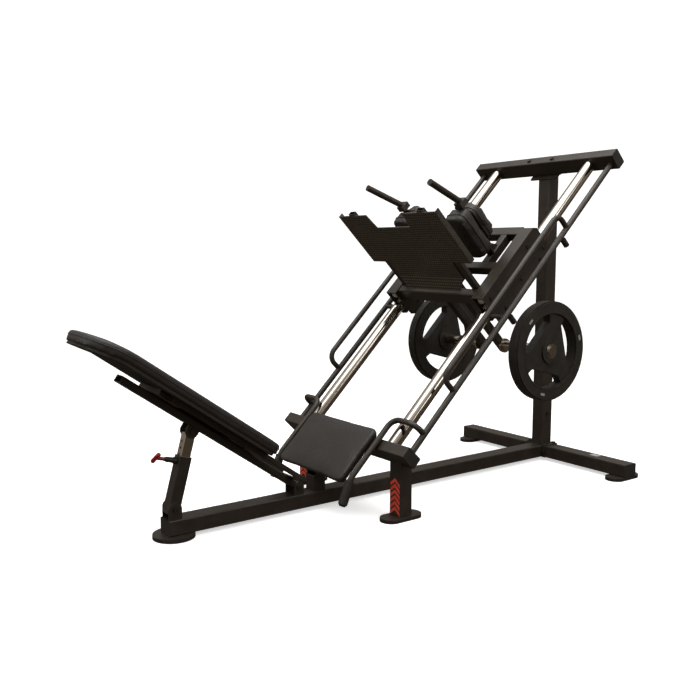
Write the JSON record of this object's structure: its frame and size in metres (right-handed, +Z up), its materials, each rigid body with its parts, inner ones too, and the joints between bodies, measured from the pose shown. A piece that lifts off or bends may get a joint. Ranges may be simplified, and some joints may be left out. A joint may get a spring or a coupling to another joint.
{
  "type": "leg press machine",
  "caption": "Plate loaded 45 degree leg press and hack squat machine with a roller sled on chrome rails, foot plate, shoulder pads, seat, hinged backrest and turning safety bars",
  "frame": {"origin": "middle of the footprint's bounding box on the floor", "axes": "+Z up; +Y along the base tube toward the rear post, -Y toward the head end of the backrest; +X is the right side seen from the head end looking toward +Y"},
  "size_m": [1.074, 2.5025, 1.5219],
  "materials": {
    "black_powder_coat": "fine matte powder coat, very dark with a slight olive cast",
    "black_plastic": "textured moulded plastic tube plugs",
    "black_rubber": "moulded rubber grips, sleeves and floor pads",
    "plate_rubber": "moulded rubber over an iron core",
    "chrome": "polished hard chrome",
    "zinc_steel": "zinc plated bolts, pins and axles",
    "red_plastic": "glossy moulded handle",
    "red_film": "thin adhesive film",
    "board": "plywood with a dark brown backing cloth",
    "vinyl": "smooth upholstery vinyl over foam, very dark brown",
    "white_nylon": "turned white nylon"
  },
  "bodies": {
    "frame": {"base_tube": "black_powder_coat", "rear_beam": "black_powder_coat", "end_caps": "black_plastic", "foot_plates": "black_powder_coat", "foot_pads": "black_rubber", "joint_flanges": "black_powder_coat", "rear_post": "black_powder_coat", "top_beam": "black_powder_coat", "lower_beam": "black_powder_coat", "side_posts": "black_powder_coat", "guide_rails": "chrome", "frame_bolts": "zinc_steel", "chevron_decals": "red_film", "seat_post": "black_powder_coat", "seat_board": "board", "seat_cushion": "vinyl", "backrest_bracket": "black_powder_coat", "strut_bracket": "black_powder_coat", "pivot_studs": "chrome", "hinge_pins": "zinc_steel"},
    "backrest": {"backrest_beam": "black_powder_coat", "backrest_frame": "black_powder_coat", "backrest_board": "board", "backrest_cushion": "vinyl", "strut_lugs": "black_powder_coat", "strut_upper_pin": "zinc_steel"},
    "strut_tube": {"strut_outer": "black_powder_coat", "pin_barrel": "black_powder_coat"},
    "strut_rod": {"strut_inner": "chrome"},
    "lock_pin": {"pull_pin": "zinc_steel", "pull_handle": "red_plastic"},
    "sled": {"carriage_sheets": "black_powder_coat", "carriage_webs": "black_powder_coat", "sled_cross_tubes": "black_powder_coat", "sled_carriers": "black_powder_coat", "foot_plate": "black_powder_coat", "foot_plate_uprights": "black_powder_coat", "shoulder_brackets": "black_powder_coat", "shoulder_cushion_right": "vinyl", "shoulder_cushion_left": "vinyl", "neck_pads": "vinyl", "shoulder_handles": "black_powder_coat", "horn_arms": "black_powder_coat", "weight_horns": "chrome", "roller_axles": "zinc_steel"},
    "roller_right_1": {"roller_right_1": "white_nylon"},
    "roller_right_2": {"roller_right_2": "white_nylon"},
    "roller_right_3": {"roller_right_3": "white_nylon"},
    "roller_right_4": {"roller_right_4": "white_nylon"},
    "weight_plate_right": {"weight_plate_right": "plate_rubber"},
    "safety_bar_right": {"safety_bar_right": "black_powder_coat", "bar_rubbers_right": "black_rubber"},
    "roller_left_1": {"roller_left_1": "white_nylon"},
    "roller_left_2": {"roller_left_2": "white_nylon"},
    "roller_left_3": {"roller_left_3": "white_nylon"},
    "roller_left_4": {"roller_left_4": "white_nylon"},
    "weight_plate_left": {"weight_plate_left": "plate_rubber"},
    "safety_bar_left": {"safety_bar_left": "black_powder_coat", "bar_rubbers_left": "black_rubber"}
  },
  "joints": [
    {"name": "sled_slide", "type": "slide", "parent": "frame", "child": "sled", "axis": [0, 0.7071, 0.7071], "range_m": [0, 0.44]},
    {"name": "roller_right_1_spin", "type": "hinge", "parent": "sled", "child": "roller_right_1", "pos_m": [0.291, 0.43231, 0.86521], "axis": [1, 0, 0], "continuous": true},
    {"name": "roller_right_2_spin", "type": "hinge", "parent": "sled", "child": "roller_right_2", "pos_m": [0.291, 0.6494, 1.08229], "axis": [1, 0, 0], "continuous": true},
    {"name": "roller_right_3_spin", "type": "hinge", "parent": "sled", "child": "roller_right_3", "pos_m": [0.291, 0.5282, 0.81883], "axis": [1, 0, 0], "continuous": true},
    {"name": "roller_right_4_spin", "type": "hinge", "parent": "sled", "child": "roller_right_4", "pos_m": [0.291, 0.73679, 1.02742], "axis": [1, 0, 0], "continuous": true},
    {"name": "weight_plate_right_slide", "type": "slide", "parent": "sled", "child": "weight_plate_right", "axis": [1, 0, 0], "range_m": [-0.22, 0.06]},
    {"name": "safety_bar_right_turn", "type": "hinge", "parent": "frame", "child": "safety_bar_right", "pos_m": [0.4, 0.5195, 0.86712], "axis": [0, 0.7071, 0.7071], "range_deg": [0, 75]},
    {"name": "roller_left_1_spin", "type": "hinge", "parent": "sled", "child": "roller_left_1", "pos_m": [-0.291, 0.43231, 0.86521], "axis": [1, 0, 0], "continuous": true},
    {"name": "roller_left_2_spin", "type": "hinge", "parent": "sled", "child": "roller_left_2", "pos_m": [-0.291, 0.6494, 1.08229], "axis": [1, 0, 0], "continuous": true},
    {"name": "roller_left_3_spin", "type": "hinge", "parent": "sled", "child": "roller_left_3", "pos_m": [-0.291, 0.5282, 0.81883], "axis": [1, 0, 0], "continuous": true},
    {"name": "roller_left_4_spin", "type": "hinge", "parent": "sled", "child": "roller_left_4", "pos_m": [-0.291, 0.73679, 1.02742], "axis": [1, 0, 0], "continuous": true},
    {"name": "weight_plate_left_slide", "type": "slide", "parent": "sled", "child": "weight_plate_left", "axis": [-1, 0, 0], "range_m": [-0.22, 0.06]},
    {"name": "safety_bar_left_turn", "type": "hinge", "parent": "frame", "child": "safety_bar_left", "pos_m": [-0.4, 0.5195, 0.86712], "axis": [0, -0.7071, -0.7071], "range_deg": [0, 75]},
    {"name": "backrest_hinge", "type": "hinge", "parent": "frame", "child": "backrest", "pos_m": [0, -0.35376, 0.109], "axis": [1, 0, 0], "range_deg": [-5.5, 5.5]},
    {"name": "strut_hinge", "type": "hinge", "parent": "frame", "child": "strut_tube", "pos_m": [0, -0.89376, 0.115], "axis": [1, 0, 0], "range_deg": [-4, 4]},
    {"name": "strut_slide", "type": "slide", "parent": "strut_tube", "child": "strut_rod", "axis": [0, 0.2629, 0.9648], "range_m": [-0.0515, 0.0515]},
    {"name": "lock_pin_pull", "type": "slide", "parent": "strut_tube", "child": "lock_pin", "axis": [0, -0.9648, 0.2629], "range_m": [0, 0.012], "stiffness_N_per_m": 700, "springref_m": -0.01}
  ],
  "couplings": [
    {"joint": "roller_right_1_spin", "follows": "sled_slide", "rad_per_m": -43.478},
    {"joint": "roller_right_2_spin", "follows": "sled_slide", "rad_per_m": -43.478},
    {"joint": "roller_right_3_spin", "follows": "sled_slide", "rad_per_m": 43.478},
    {"joint": "roller_right_4_spin", "follows": "sled_slide", "rad_per_m": 43.478},
    {"joint": "roller_left_1_spin", "follows": "sled_slide", "rad_per_m": -43.478},
    {"joint": "roller_left_2_spin", "follows": "sled_slide", "rad_per_m": -43.478},
    {"joint": "roller_left_3_spin", "follows": "sled_slide", "rad_per_m": 43.478},
    {"joint": "roller_left_4_spin", "follows": "sled_slide", "rad_per_m": 43.478},
    {"joint": "strut_hinge", "follows": "backrest_hinge", "ratio": 0.536},
    {"joint": "strut_slide", "follows": "backrest_hinge", "m_per_rad": -0.522}
  ]
}
